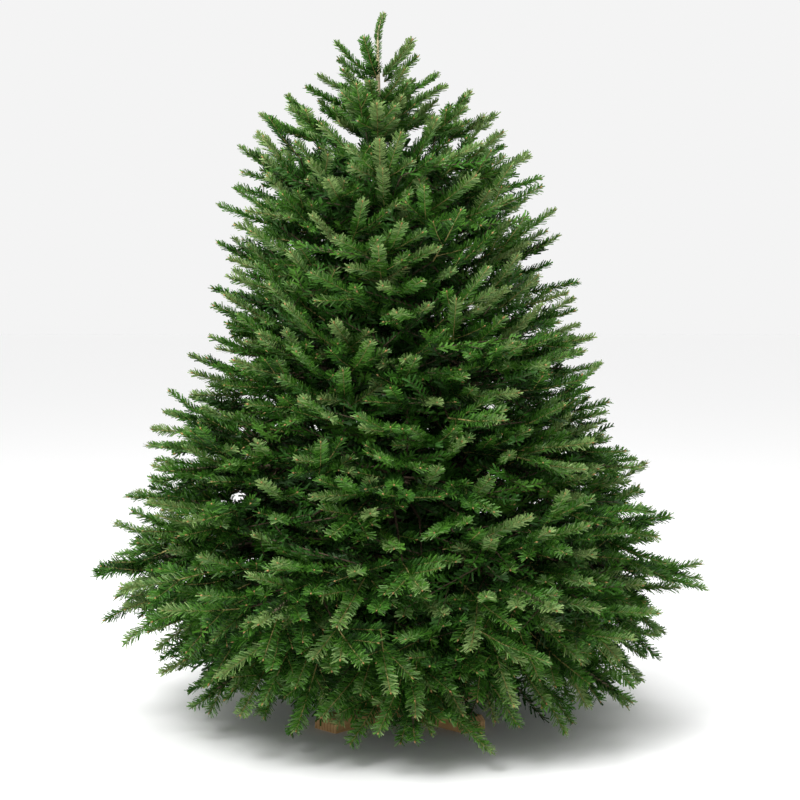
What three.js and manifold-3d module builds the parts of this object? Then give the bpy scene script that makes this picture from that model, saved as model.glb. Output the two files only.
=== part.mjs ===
// A cut Christmas tree: a broad young fir with a full cone of needles, on a plain wooden cross stand.
//
// Millimetres, +Z up. The origin is on the floor under the middle of the stand. The photograph's view looks
// along +Y, with +X to the right.
//
// The trunk runs up through the whole crown. The three lowest tiers of branches are boughs that carry a
// mass of foliage at their tips, the three tiers above start at the trunk, and one mass rings the leader.
// Each mass owns the space that is nearer to its own stem than to any other. It holds a stem, a core with a
// jagged surface, and toothed sprays of needles that stand out of the core or sit on twigs.
import * as THREE from "three";
import { mergeVertices } from "three/addons/utils/BufferGeometryUtils.js";
import Module from "manifold-3d";

const wasm = await Module();
wasm.setup();

const { clamp, degToRad, lerp } = THREE.MathUtils;
const UP = new THREE.Vector3(0, 0, 1);

// Whole tree
const TREE_HEIGHT = 2100; // floor to the leader's tip
const TIP_LEAN = -66; // the leader's tip stands this far to the left of the foot
const TRUNK_BOW = 9; // the trunk sways this far off its straight line, once each way
const GAP = 0.3; // clearance between pieces that touch

// Cross stand
const BOARD_LENGTH = 620;
const BOARD_WIDTH = 90;
const BOARD_DEPTH = 38;
const BOARD_CHAMFER = 14;
const STAND_TURN = Math.PI / 4;
const BRACE_WIDTH = 40;
const BRACE_DEPTH = 30; // across its run
const BRACE_FOOT = 245; // from the middle of the stand to the brace's far edge

// Trunk
const TRUNK_SIDES = 12;
const BUTT_HEIGHT = BOARD_DEPTH + GAP;
const BUTT_RADIUS = 56; // at the saw cut
const FLARE_HEIGHT = 130; // the butt's flare has died out this far above the cut
const STEM_RADIUS = 47; // at the foot, without the flare
const LEADER_RADIUS = 2.4; // at the tip
const TRUNK_RINGS = [80, 125, 200, 400, 650, 900, 1150, 1400, 1620, 1800, 1940, 2040];

// The crown's outline: [height, reach to the left, reach to the right], from its underside, round its hem
// and up to the leader. Reach is measured from the trunk's axis to the furthest tips.
const CROWN = [
  [250, 230, 230],
  [125, 420, 440],
  [58, 610, 700],
  [190, 745, 780],
  [345, 890, 850],
  [470, 908, 912],
  [560, 870, 862],
  [730, 785, 815],
  [955, 690, 665],
  [1135, 560, 655],
  [1240, 512, 610],
  [1430, 490, 520],
  [1580, 470, 510],
  [1720, 398, 404],
  [1825, 372, 330],
  [1900, 266, 270],
  [1965, 130, 135],
  [2070, 30, 30],
];
const HEM_ROW = 2; // the row where the underside turns up into the crown's side

// Tiers of branches: root is the height of the whorl on the trunk, tip the height of its stems' ends, lift
// how far the limb's bend stands above its straight line, turn the first limb's azimuth in degrees, and
// bough the share of the limb that is a bare bough.
const TIERS = [
  { count: 6, root: 330, tip: 150, lift: 90, turn: 30, bough: 0.4 },
  { count: 7, root: 505, tip: 465, lift: 60, turn: 39, bough: 0.4 },
  { count: 6, root: 735, tip: 800, lift: 20, turn: 30, bough: 0.4 },
  { count: 5, root: 985, tip: 1125, lift: -5, turn: 18, bough: 0 },
  { count: 4, root: 1235, tip: 1410, lift: -20, turn: 0, bough: 0 },
  { count: 4, root: 1480, tip: 1680, lift: -20, turn: 0, bough: 0 },
];
const LIMB_TURN_SPREAD = 4; // degrees
const LIMB_HEIGHT_SPREAD = 20;
const STEM_REACH = 0.94; // a stem ends at this share of the crown's reach, under its last spray

// Boughs and stems
const BOUGH_SIDES = 5;
const BOUGH_STEPS = 3;
const BOUGH_ROOT_SHARE = 0.36; // a limb's root radius against the trunk's there
const BOUGH_TIP_RADIUS = 8;
const STEM_SIDES = 3;
const STEM_SHARE = 0.36; // the share of a mass's stem that shows or lies just inside the core
const STEM_END_RADIUS = 6;

// Spaces
const LINE_STEPS = 6; // pieces of the line that stands for a limb when a point's distance from it is taken
const SPACE_MARGIN = 2.5; // how far a mass stays inside its own space
const LIMB_MARGIN = 5; // how far sprays and cores stay from every trunk and bough

// Core of a mass: its rings stand at shares of the stem inside the cores' zone. Every second point of a
// ring is a valley, and the points between are peaks, drawn out the way the shoots grow.
const CORE_STATIONS = [0.07, 0.3, 0.52, 0.72, 0.87, 0.97];
const CORE_SIDES = 12;
const CORE_FLAT = 0.6; // the points of a ring lie closer together to the sides than above and below
const CORE_FILL = 0.96;
const CORE_ROOT_FILL = 0.45; // for the first ring
const CORE_VALLEY = 48; // depth
const CORE_VALLEY_LEAST = 0.6; // a valley's distance from the stem against a peak's, where that is more
const CORE_PUSH = 66;
const CORE_LEAST = 12;
const CORE_MOST = 430;
const UNDER_CLEAR = 40; // the cores stay this far above the crown's underside

// Core round the leader: [height, radius] of its rings
const COLLAR = [
  [1735, 60],
  [1785, 140],
  [1838, 90],
  [1880, 34],
  [1925, 48],
  [1975, 24],
  [2030, 24],
  [2080, 7],
];
const COLLAR_FOOT = 1790; // the lowest height from which the leader's twigs grow
const COLLAR_TOP = 2060;

// Sprays of needles
const SPRAY_COUNT = 184;
const SPRAY_LENGTH = [240, 185]; // at the floor and at the leader's tip
const SPRAY_WIDTH = [78, 54];
const SPRAY_DEPTH = 0.42; // a spray's depth against its width
const SPRAY_STANDING = [0.6, 1]; // the share of a spray that stands out of the cores, there and there
const SPRAY_SUNK = 60; // the least volume of a spray's root inside its core; with less, it gets a twig
const TWIG_RADIUS = 5;
const TWIG_CLIMB = 0.45; // the slope of a twig from the leader
const FLOOR_CLEAR = 12;

// One side of a spray's outline, as shares of its length and half width: a tooth, a notch and a tooth
const SPRAY_SIDE = [
  [0.38, 1],
  [0.52, 0.4],
  [0.78, 0.8],
];
const SPRAY_RIDGE = 0.45; // the ridge's place along the spray

// The rule by which sprays are set out
const GOLDEN_ANGLE = Math.PI * (3 - Math.sqrt(5));
const UNDER_SHARE = 0.5; // how thickly sprays stand on the crown's underside against its side
const SPIRAL_END = 13.6; // the row of the crown's outline where the spiral gives way to the top whorls
const LENGTH_SPREAD = 0.12;
const TIP_SPREAD = 0.05; // how much short of the crown's reach a spray may end
const TURN_SPREAD = 0.35; // radians
const RISE_SPREAD = 0.16; // radians
const STEM_PULL = 0.28; // how much a spray points away from its stem, against straight out of the crown
const PULL_POINT = 0.45; // the share of the stem that it points away from
const TRIES = 4;
const TRY_SHRINK = 0.12;
const TRY_DEEPER = 0.03;
const TRY_PULL = 0.2;
const TRY_TURN_SPREAD = 0.1;

// Whorls of shoots round the top: the height and reach of their tips, how steeply they rise in degrees, their
// length and number, and the first one's azimuth in degrees
const WHORLS = [
  { tip: 1802, reach: 348, rise: 25, length: 180, count: 8, turn: 180 },
  { tip: 1862, reach: 277, rise: 47, length: 150, count: 4, turn: 168 },
  { tip: 1878, reach: 213, rise: 22, length: 190, count: 5, turn: 192 },
  { tip: 1918, reach: 174, rise: 28, length: 165, count: 6, turn: 176 },
  { tip: 1968, reach: 118, rise: 34, length: 120, count: 2, turn: 345 },
  { tip: 2012, reach: 122, rise: 42, length: 140, count: 5, turn: 180 },
];

// How steeply shoots rise at a height, in degrees: they hang at the hem, lie level at the widest part and
// climb above it
const SHOOT_RISE = [
  [40, -52],
  [190, -34],
  [420, -4],
  [750, 10],
  [1150, 20],
  [1600, 27],
  [1850, 36],
  [2100, 74],
];

const MATERIALS = {
  bark: new THREE.MeshStandardMaterial({ color: 0x5d5146, roughness: 0.9, metalness: 0 }),
  needles: new THREE.MeshStandardMaterial({ color: 0x2f5a26, roughness: 0.6, metalness: 0 }),
  timber: new THREE.MeshStandardMaterial({ color: 0xb98f5e, roughness: 0.75, metalness: 0 }),
};

// Which of a thing's chances is drawn
const SALT = { length: 1, depth: 2, turn: 3, rise: 4, roll: 5, limbTurn: 0, limbTip: 20, limbRoot: 40 };

// Seeded chance from 0 to 1, the same for the same two numbers
function chance(index, salt) {
  const x = Math.sin(index * 127.1 + salt * 311.7) * 43758.5453;
  return x - Math.floor(x);
}

function spread(index, salt, amount) {
  return (chance(index, salt) * 2 - 1) * amount;
}

// The second value of a table of pairs at a first value, between its rows
function tableAt(table, key) {
  let row = 0;
  while (row < table.length - 2 && table[row + 1][0] < key) row++;
  const [[key0, value0], [key1, value1]] = [table[row], table[row + 1]];
  return lerp(value0, value1, clamp((key - key0) / (key1 - key0), 0, 1));
}

// Solids

function solid(positions, indices) {
  const vertProperties = new Float32Array(positions);
  const triVerts = new Uint32Array(indices);
  return new wasm.Manifold(new wasm.Mesh({ numProp: 3, vertProperties, triVerts }));
}

function solidOfPoints(points, triangles) {
  return solid(
    points.flatMap((point) => point.toArray()),
    triangles.flat(),
  );
}

// The closed solid through a list of rings, which turn anticlockwise about the run. A tip closes the last
// ring with a point. On a jagged loft ring k's point i is a peak if k + i is odd, and every edge across a
// panel joins two valleys.
function loft(rings, { tip = null, jagged = false } = {}) {
  const sides = rings[0].length;
  const points = rings.flat();
  const triangles = [];
  for (let k = 0; k + 1 < rings.length; k++) {
    for (let i = 0; i < sides; i++) {
      const [a, b] = [k * sides + i, k * sides + ((i + 1) % sides)];
      const [d, c] = [a + sides, b + sides];
      triangles.push(...(jagged && (k + i) % 2 ? [[a, b, d], [b, c, d]] : [[a, b, c], [a, c, d]]));
    }
  }
  const last = (rings.length - 1) * sides;
  for (let i = 1; i + 1 < sides; i++) {
    triangles.push([0, i + 1, i]);
    if (!tip) triangles.push([last, last + i, last + i + 1]);
  }
  if (tip) {
    points.push(tip);
    for (let i = 0; i < sides; i++) {
      triangles.push([last + i, last + ((i + 1) % sides), points.length - 1]);
    }
  }
  return solidOfPoints(points, triangles);
}

// A ring of points about centre, square to direction, whose radius may depend on the point's number.
function ring(centre, direction, sides, radius, twist = 0) {
  const across = acrossOf(direction);
  const over = new THREE.Vector3().crossVectors(direction, across);
  return Array.from({ length: sides }, (_, i) => {
    const angle = twist + (i / sides) * 2 * Math.PI;
    const r = typeof radius === "function" ? radius(i) : radius;
    return centre
      .clone()
      .addScaledVector(across, Math.cos(angle) * r)
      .addScaledVector(over, Math.sin(angle) * r);
  });
}

// The level direction square to a given one
function acrossOf(direction) {
  const across = new THREE.Vector3(-direction.y, direction.x, 0);
  return across.lengthSq() < 1e-6 ? new THREE.Vector3(1, 0, 0) : across.normalize();
}

// The largest of a solid's separate bodies, without loose scraps
function mainBody(whole) {
  return whole.decompose().reduce((best, body) => (body.volume() > best.volume() ? body : best));
}

function meshOf(name, whole, material) {
  const made = whole.getMesh();
  const positions = new Float32Array(made.numVert * 3);
  for (let i = 0; i < made.numVert; i++) {
    positions.set(made.vertProperties.subarray(i * made.numProp, i * made.numProp + 3), i * 3);
  }
  const geometry = new THREE.BufferGeometry();
  geometry.setAttribute("position", new THREE.BufferAttribute(positions, 3));
  geometry.setIndex(new THREE.BufferAttribute(new Uint32Array(made.triVerts), 1));
  geometry.computeVertexNormals();
  const mesh = new THREE.Mesh(geometry, material);
  mesh.name = name;
  return mesh;
}

// Trunk

function trunkAxis(z) {
  const share = z / TREE_HEIGHT;
  return new THREE.Vector3(TIP_LEAN * share + TRUNK_BOW * Math.sin(2 * Math.PI * share), 0, z);
}

function trunkRadius(z) {
  const taper = lerp(STEM_RADIUS, LEADER_RADIUS, Math.pow(z / TREE_HEIGHT, 0.9));
  const flare = clamp(1 - (z - BUTT_HEIGHT) / FLARE_HEIGHT, 0, 1);
  return taper + (BUTT_RADIUS - STEM_RADIUS) * flare * flare;
}

// The trunk, or with extra the space that other pieces keep clear of it
function trunkSolid(extra = 0) {
  const heights = [BUTT_HEIGHT - extra, ...TRUNK_RINGS, TREE_HEIGHT + extra];
  return loft(heights.map((z) => ring(trunkAxis(z), UP, TRUNK_SIDES, trunkRadius(z) + extra)));
}

// Crown

// The crown's outline at a fractional row of its table
function outlineAt(row, azimuth) {
  const below = Math.min(Math.floor(row), CROWN.length - 2);
  const [z, left, right] = CROWN[below].map((value, i) => lerp(value, CROWN[below + 1][i], row - below));
  return { z, reach: lerp(left, right, (1 + Math.cos(azimuth)) / 2) };
}

// The crown's reach at a height on its side, above the hem
function reachAt(z, azimuth) {
  const rows = CROWN.slice(HEM_ROW).map(([height], i) => [height, i + HEM_ROW]);
  return outlineAt(tableAt(rows, z), azimuth).reach;
}

// The height of the crown's underside at a distance from the trunk
function undersideAt(fromAxis) {
  return tableAt(CROWN.slice(0, HEM_ROW + 1).map(([height, left]) => [left, height]), fromAxis);
}

function crownPoint(z, azimuth, reach) {
  return trunkAxis(z).add(new THREE.Vector3(Math.cos(azimuth) * reach, Math.sin(azimuth) * reach, 0));
}

// A point's azimuth and distance from the trunk's axis
function aroundTrunk(point) {
  const axis = trunkAxis(point.z);
  return { azimuth: Math.atan2(point.y, point.x - axis.x), fromAxis: Math.hypot(point.y, point.x - axis.x) };
}

function sprayLengthAt(z) {
  return lerp(...SPRAY_LENGTH, z / TREE_HEIGHT);
}

function sprayWidthAt(z) {
  return lerp(...SPRAY_WIDTH, z / TREE_HEIGHT);
}

// Cores lie under the crown's outline by the part of a spray that stands out, and over its underside.
function inCoreZone(point) {
  const { azimuth, fromAxis } = aroundTrunk(point);
  const standing = lerp(...SPRAY_STANDING, point.z / TREE_HEIGHT) * sprayLengthAt(point.z);
  const outside = fromAxis > reachAt(point.z, azimuth) - standing;
  return !outside && point.z > undersideAt(fromAxis) + UNDER_CLEAR;
}

// The way that shoots grow at a point: outward, and hanging, level or climbing with the height
function shootDirection(z, azimuth, extraRise = 0) {
  return outwardAt(azimuth, degToRad(tableAt(SHOOT_RISE, z)) + extraRise);
}

function outwardAt(azimuth, rise) {
  const level = Math.cos(rise);
  return new THREE.Vector3(Math.cos(azimuth) * level, Math.sin(azimuth) * level, Math.sin(rise));
}

// Limbs

// A limb bends in the upright plane at its azimuth, from the trunk's middle to under the crown's outline.
function limbOf(tier, t, i) {
  const turned = degToRad(tier.turn + spread(i, SALT.limbTurn + t, LIMB_TURN_SPREAD));
  const azimuth = turned + (i * 2 * Math.PI) / tier.count;
  const root = trunkAxis(tier.root + spread(i, SALT.limbRoot + t, LIMB_HEIGHT_SPREAD));
  const tipHeight = tier.tip + spread(i, SALT.limbTip + t, LIMB_HEIGHT_SPREAD);
  const tip = crownPoint(tipHeight, azimuth, reachAt(tipHeight, azimuth) * STEM_REACH);
  const bend = root.clone().lerp(tip, 0.5).addScaledVector(UP, tier.lift);
  const rootRadius = trunkRadius(root.z) * BOUGH_ROOT_SHARE;
  const curve = new THREE.QuadraticBezierCurve3(root, bend, tip);
  return { name: `${t + 1}_${i + 1}`, azimuth, curve, rootRadius, start: tier.bough };
}

function lineOf(curve, from, to) {
  return Array.from({ length: LINE_STEPS + 1 }, (_, i) => curve.getPoint(lerp(from, to, i / LINE_STEPS)));
}

const limbs = TIERS.flatMap((tier, t) => Array.from({ length: tier.count }, (_, i) => limbOf(tier, t, i)));
const leader = {
  name: "leader",
  start: 0,
  curve: new THREE.LineCurve3(trunkAxis(COLLAR_FOOT), trunkAxis(COLLAR_TOP)),
};
const masses = [...limbs, leader];
for (const mass of masses) {
  mass.line = lineOf(mass.curve, mass.start, 1);
}
const boughs = limbs.filter((limb) => limb.start > 0);
for (const bough of boughs) {
  bough.barkLine = lineOf(bough.curve, 0, bough.start);
}

// Spaces

const segment = new THREE.Line3();
const nearest = new THREE.Vector3();
function distanceToLine(point, points) {
  let best = Infinity;
  for (let i = 0; i + 1 < points.length; i++) {
    segment.set(points[i], points[i + 1]).closestPointToPoint(point, true, nearest);
    best = Math.min(best, nearest.distanceTo(point));
  }
  return best;
}

// A mass's own space is nearer to its stem than to any other, and clear of the trunk and the boughs.
function inOwnSpace(point, mass) {
  const own = distanceToLine(point, mass.line) + SPACE_MARGIN;
  if (masses.some((other) => other !== mass && distanceToLine(point, other.line) < own)) return false;
  if (aroundTrunk(point).fromAxis < trunkRadius(point.z) + LIMB_MARGIN) return false;
  return boughs.every((bough) => distanceToLine(point, bough.barkLine) > bough.rootRadius + LIMB_MARGIN);
}

function nearestMass(point) {
  const distances = masses.map((mass) => distanceToLine(point, mass.line));
  return masses[distances.indexOf(Math.min(...distances))];
}

// Boughs

function boughSolid(bough, trunkClear) {
  const rings = Array.from({ length: BOUGH_STEPS + 1 }, (_, i) => {
    const t = (i / BOUGH_STEPS) * bough.start;
    const radius = lerp(bough.rootRadius, BOUGH_TIP_RADIUS, i / BOUGH_STEPS);
    return ring(bough.curve.getPoint(t), bough.curve.getTangent(t), BOUGH_SIDES, radius);
  });
  return mainBody(loft(rings).subtract(trunkClear));
}

// Foliage

// A mass's stem goes on from its bough's tip, or starts at the trunk, and ends inside the core.
function stemSolid(mass) {
  const { curve, start, rootRadius } = mass;
  const end = lerp(start, 1, STEM_SHARE);
  const foot = curve.getPoint(start).addScaledVector(curve.getTangent(start), start > 0 ? GAP : 0);
  return loft([
    ring(foot, curve.getTangent(start), STEM_SIDES, start > 0 ? BOUGH_TIP_RADIUS : rootRadius, Math.PI / 2),
    ring(curve.getPoint(end), curve.getTangent(end), STEM_SIDES, STEM_END_RADIUS, Math.PI / 2),
  ]);
}

function coreSolid(mass) {
  const end = coreEnd(mass);
  const rings = CORE_STATIONS.map((share, k) => {
    const t = lerp(mass.start, end, share);
    const centre = mass.curve.getPoint(t);
    return flatRing(mass.curve.getTangent(t)).map((outward, i) => {
      const reach = openReach(centre, outward, mass) * (k === 0 ? CORE_ROOT_FILL : CORE_FILL);
      const peak = (k + i) % 2 === 1;
      const valley = Math.max(reach - CORE_VALLEY, reach * CORE_VALLEY_LEAST);
      const foot = centre.clone().addScaledVector(outward, peak ? reach : valley);
      return peak ? pushed(foot, mass) : foot;
    });
  });
  return loft(rings, { tip: pushed(mass.curve.getPoint(end), mass), jagged: true });
}

// The share of the limb where its stem leaves the zone of the cores
function coreEnd(mass) {
  let t = 1;
  while (t > mass.start && !inCoreZone(mass.curve.getPoint(t))) t -= 0.01;
  return t;
}

// Directions round a stem, at equal steps round a flat oval
function flatRing(direction) {
  const across = acrossOf(direction);
  const over = new THREE.Vector3().crossVectors(direction, across);
  return Array.from({ length: CORE_SIDES }, (_, i) => {
    const angle = (i / CORE_SIDES) * 2 * Math.PI;
    const outward = across.clone().multiplyScalar(Math.cos(angle));
    return outward.addScaledVector(over, Math.sin(angle) * CORE_FLAT).normalize();
  });
}

// How far a mass's own space goes from a point of its stem in one direction, inside the zone of the cores
function openReach(centre, outward, mass) {
  const step = 8;
  const probe = new THREE.Vector3();
  let reach = CORE_LEAST;
  while (reach < CORE_MOST) {
    probe.copy(centre).addScaledVector(outward, reach + step);
    if (!inCoreZone(probe) || !inOwnSpace(probe, mass)) break;
    reach += step;
  }
  return reach;
}

// A peak of the core, drawn out the way the shoots grow as far as the mass's own space allows
function pushed(foot, mass) {
  const { azimuth } = aroundTrunk(foot);
  const direction = shootDirection(foot.z, azimuth);
  for (const share of [1, 0.75, 0.5, 0.25]) {
    const peak = foot.clone().addScaledVector(direction, CORE_PUSH * share);
    if (inOwnSpace(peak, mass)) return peak;
  }
  return foot;
}

function collarSolid() {
  const rings = COLLAR.map(([z, radius], k) =>
    ring(trunkAxis(z), UP, CORE_SIDES, (i) => radius * ((k + i) % 2 ? 1 : CORE_VALLEY_LEAST)),
  );
  return loft(rings, { jagged: true });
}

// Sprays

// The spray's outline runs round its teeth, and its depth is in one ridge point on each face.
function sprayPoints({ root, forward, roll, length, width }) {
  const across = acrossOf(forward).applyAxisAngle(forward, roll);
  const over = new THREE.Vector3().crossVectors(forward, across);
  const at = (along, side, deep) =>
    root
      .clone()
      .addScaledVector(forward, along * length)
      .addScaledVector(across, (side * width) / 2)
      .addScaledVector(over, (deep * width * SPRAY_DEPTH) / 2);
  const right = SPRAY_SIDE.map(([along, side]) => at(along, -side, 0));
  const left = SPRAY_SIDE.map(([along, side]) => at(along, side, 0)).reverse();
  return {
    outline: [at(0, 0, 0), ...right, at(1, 0, 0), ...left],
    top: at(SPRAY_RIDGE, 0, 1),
    bottom: at(SPRAY_RIDGE, 0, -1),
  };
}

function spraySolid(spray) {
  const { outline, top, bottom } = sprayPoints(spray);
  const n = outline.length;
  const triangles = outline.flatMap((_, i) => [
    [i, (i + 1) % n, n],
    [(i + 1) % n, i, n + 1],
  ]);
  return solidOfPoints([...outline, top, bottom], triangles);
}

// A twig is a three-sided spike into the middle of its spray. It starts in the middle of its mass's stem,
// or on the leader below the spray.
function twigSolid({ mass, root, forward, length }) {
  const end = root.clone().addScaledVector(forward, length / 2);
  const foot = mass.curve.getPoint(lerp(mass.start, 1, 0.5));
  if (mass === leader) {
    foot.copy(trunkAxis(clamp(root.z - TWIG_CLIMB * aroundTrunk(root).fromAxis, COLLAR_FOOT, COLLAR_TOP)));
  }
  const base = ring(foot, end.clone().sub(foot).normalize(), STEM_SIDES, TWIG_RADIUS);
  return loft([base], { tip: end });
}

// Spray tips climb the crown's outline in a golden spiral, one for each equal share of its surface.
function sprayTargets(count) {
  const steps = 600;
  const rows = Array.from({ length: steps }, (_, i) => ((i + 0.5) / steps) * SPIRAL_END);
  const areas = rows.map((row) => {
    const [here, next] = [outlineAt(row, Math.PI / 2), outlineAt(row + 1e-3, Math.PI / 2)];
    const share = row < HEM_ROW ? UNDER_SHARE : 1;
    return share * here.reach * Math.hypot(next.z - here.z, next.reach - here.reach);
  });
  const total = areas.reduce((sum, area) => sum + area, 0);
  const targets = [];
  let covered = 0;
  rows.forEach((row, i) => {
    covered += areas[i];
    while (targets.length < count && covered >= ((targets.length + 0.5) / count) * total) {
      targets.push({ row, azimuth: targets.length * GOLDEN_ANGLE, index: targets.length });
    }
  });
  return targets;
}

// The spray that ends at a target leans out of the crown there and away from its mass's stem. Later tries are
// shorter, lie deeper and lean less to the side.
function sprayAt({ row, azimuth, index }, attempt) {
  const { z, reach } = outlineAt(row, azimuth);
  const shrink = 1 - TRY_SHRINK * attempt;
  const length = sprayLengthAt(z) * (1 + spread(index, SALT.length, LENGTH_SPREAD)) * shrink;
  const width = sprayWidthAt(z) * shrink;
  const depth = TIP_SPREAD * chance(index, SALT.depth) + TRY_DEEPER * attempt;
  const tip = crownPoint(z, azimuth, reach * (1 - depth));
  const mass = nearestMass(tip);
  const turned = azimuth + spread(index, SALT.turn, attempt ? TRY_TURN_SPREAD : TURN_SPREAD);
  const growthHeight = row < HEM_ROW ? CROWN[HEM_ROW][0] : z;
  const outward = shootDirection(growthHeight, turned, spread(index, SALT.rise, RISE_SPREAD));
  const middle = mass.curve.getPoint(lerp(mass.start, 1, PULL_POINT));
  const fromStem = tip.clone().sub(middle).normalize();
  const forward = outward
    .multiplyScalar(1 - STEM_PULL)
    .addScaledVector(fromStem, STEM_PULL + TRY_PULL * attempt)
    .normalize();
  const root = tip.clone().addScaledVector(forward, -length);
  return { mass, root, forward, length, width, roll: spread(index, SALT.roll, Math.PI / 2) };
}

function keepsToSpace(spray) {
  const { outline, top, bottom } = sprayPoints(spray);
  return [...outline, top, bottom].every((point) => point.z > FLOOR_CLEAR && inOwnSpace(point, spray.mass));
}

// The first of a few tries that keeps to its mass's own space, or nothing
function fittedSpray(target) {
  for (let attempt = 0; attempt < TRIES; attempt++) {
    const spray = sprayAt(target, attempt);
    if (keepsToSpace(spray)) return spray;
  }
  return null;
}

// The shoots of one whorl round the top. One that would leave its mass's own space starts further out.
function whorlSprays({ tip, reach, rise, length, count, turn }) {
  const width = sprayWidthAt(tip);
  const shoots = [];
  for (let i = 0; i < count; i++) {
    const azimuth = degToRad(turn) + (i * 2 * Math.PI) / count;
    const forward = outwardAt(azimuth, degToRad(rise));
    const end = crownPoint(tip, azimuth, reach);
    for (let attempt = 0; attempt < TRIES; attempt++) {
      const shorter = length * (1 - TRY_SHRINK * attempt);
      const root = end.clone().addScaledVector(forward, -shorter);
      const spray = { mass: nearestMass(end), root, forward, length: shorter, width, roll: 0 };
      if (keepsToSpace(spray)) {
        shoots.push(spray);
        break;
      }
    }
  }
  return shoots;
}

// The last spray of a limb goes on from its stem out to the crown's outline.
function endSpray(limb) {
  const forward = limb.curve.getTangent(1);
  const stemEnd = limb.curve.getPoint(1);
  const length = sprayLengthAt(stemEnd.z);
  const toOutline = (reachAt(stemEnd.z, limb.azimuth) * (1 - STEM_REACH)) / Math.hypot(forward.x, forward.y);
  const root = stemEnd.clone().addScaledVector(forward, toOutline - length);
  return { mass: limb, root, forward, length, width: sprayWidthAt(stemEnd.z), roll: 0 };
}

// One mass: its stem and core, cut clear of the trunk, and each of its sprays that touches no other solid
function foliageSolid(mass, sprays, trunkClear, others) {
  const grown = mass === leader ? collarSolid() : stemSolid(mass).add(coreSolid(mass));
  const body = grown.subtract(trunkClear);
  const pieces = [body];
  for (const spray of sprays) {
    const blade = spraySolid(spray);
    const sunk = blade.intersect(body).volume() > SPRAY_SUNK;
    const whole = mainBody((sunk ? blade : blade.add(twigSolid(spray))).subtract(trunkClear));
    if (others.every((other) => whole.intersect(other).volume() === 0)) pieces.push(whole);
  }
  return mainBody(wasm.Manifold.union(pieces));
}

// Cross stand

// A side outline in X and Z, extruded to both sides of the XZ plane
function extruded(outline, width) {
  const shape = new THREE.Shape(outline.map(([x, z]) => new THREE.Vector2(x, z)));
  const geometry = new THREE.ExtrudeGeometry(shape, { depth: width, bevelEnabled: false });
  geometry.translate(0, 0, -width / 2).rotateX(Math.PI / 2);
  geometry.deleteAttribute("normal");
  geometry.deleteAttribute("uv");
  return mergeVertices(geometry, 1e-3);
}

// The two boards cross in a half lap: the lower one is notched on top and the upper one below.
function boardGeometry(lower) {
  const [half, notch] = [BOARD_LENGTH / 2, BOARD_WIDTH / 2 + GAP];
  const shoulder = BOARD_DEPTH - BOARD_CHAMFER;
  const lap = BOARD_DEPTH / 2 + (lower ? -GAP / 2 : GAP / 2);
  const open = lower ? BOARD_DEPTH : 0;
  const cut = [
    [-notch, open],
    [-notch, lap],
    [notch, lap],
    [notch, open],
  ];
  return extruded(
    [
      [-half, 0],
      ...(lower ? [] : cut),
      [half, 0],
      [half, shoulder],
      [half - BOARD_CHAMFER, BOARD_DEPTH],
      ...(lower ? cut.reverse() : []),
      [-half + BOARD_CHAMFER, BOARD_DEPTH],
      [-half, shoulder],
    ],
    BOARD_WIDTH,
  );
}

// A brace climbs at 45 degrees from its board to the trunk, which cuts it to length.
function braceSolid(azimuth, trunkClear) {
  const foot = BOARD_DEPTH + GAP;
  const inside = 20; // the outline starts inside the trunk
  const run = BRACE_DEPTH * Math.SQRT2;
  const outline = [
    [BRACE_FOOT - run, foot],
    [BRACE_FOOT, foot],
    [inside, foot + BRACE_FOOT - inside],
    [inside, foot + BRACE_FOOT - inside - run],
  ];
  const beam = extruded(outline, BRACE_WIDTH).rotateZ(azimuth);
  return mainBody(solid(beam.attributes.position.array, beam.index.array).subtract(trunkClear));
}

// Assembly

const tree = new THREE.Group();
const trunkClear = trunkSolid(GAP);
tree.add(meshOf("trunk", trunkSolid(), MATERIALS.bark));

const placed = [];
for (const bough of boughs) {
  const bark = boughSolid(bough, trunkClear);
  placed.push(bark);
  tree.add(meshOf(`bough_${bough.name}`, bark, MATERIALS.bark));
}

const sprays = [
  ...sprayTargets(SPRAY_COUNT).map(fittedSpray).filter(Boolean),
  ...WHORLS.flatMap(whorlSprays),
  ...limbs.map(endSpray),
];
for (const mass of masses) {
  const own = sprays.filter((spray) => spray.mass === mass);
  const foliage = foliageSolid(mass, own, trunkClear, placed);
  placed.push(foliage);
  tree.add(meshOf(`foliage_${mass.name}`, foliage, MATERIALS.needles));
}

const stand = new THREE.Group();
const lowerBoard = new THREE.Mesh(boardGeometry(true), MATERIALS.timber);
lowerBoard.name = "stand_board_lower";
lowerBoard.rotation.z = STAND_TURN;
const upperBoard = new THREE.Mesh(boardGeometry(false), MATERIALS.timber);
upperBoard.name = "stand_board_upper";
upperBoard.rotation.z = STAND_TURN + Math.PI / 2;
stand.add(lowerBoard, upperBoard);
for (let i = 0; i < 4; i++) {
  const brace = braceSolid(STAND_TURN + (i * Math.PI) / 2, trunkClear);
  stand.add(meshOf(`stand_brace_${i + 1}`, brace, MATERIALS.timber));
}
tree.add(stand);

export default tree;
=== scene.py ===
# The looks of a cut Christmas tree: a broad young fir with a full cone of needles, on a wooden cross stand.
#
# Metres, +Z up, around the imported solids. The crown grows by the same rule as its solids: tiers of limbs, a
# golden spiral of targets on the crown's outline, and the nearest limb for each. Here a frond of needled
# shoots grows to each target in place of one toothed spray.
import math
from dataclasses import dataclass, replace

import bmesh
import bpy
import numpy as np
from mathutils import Matrix, Vector


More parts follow.
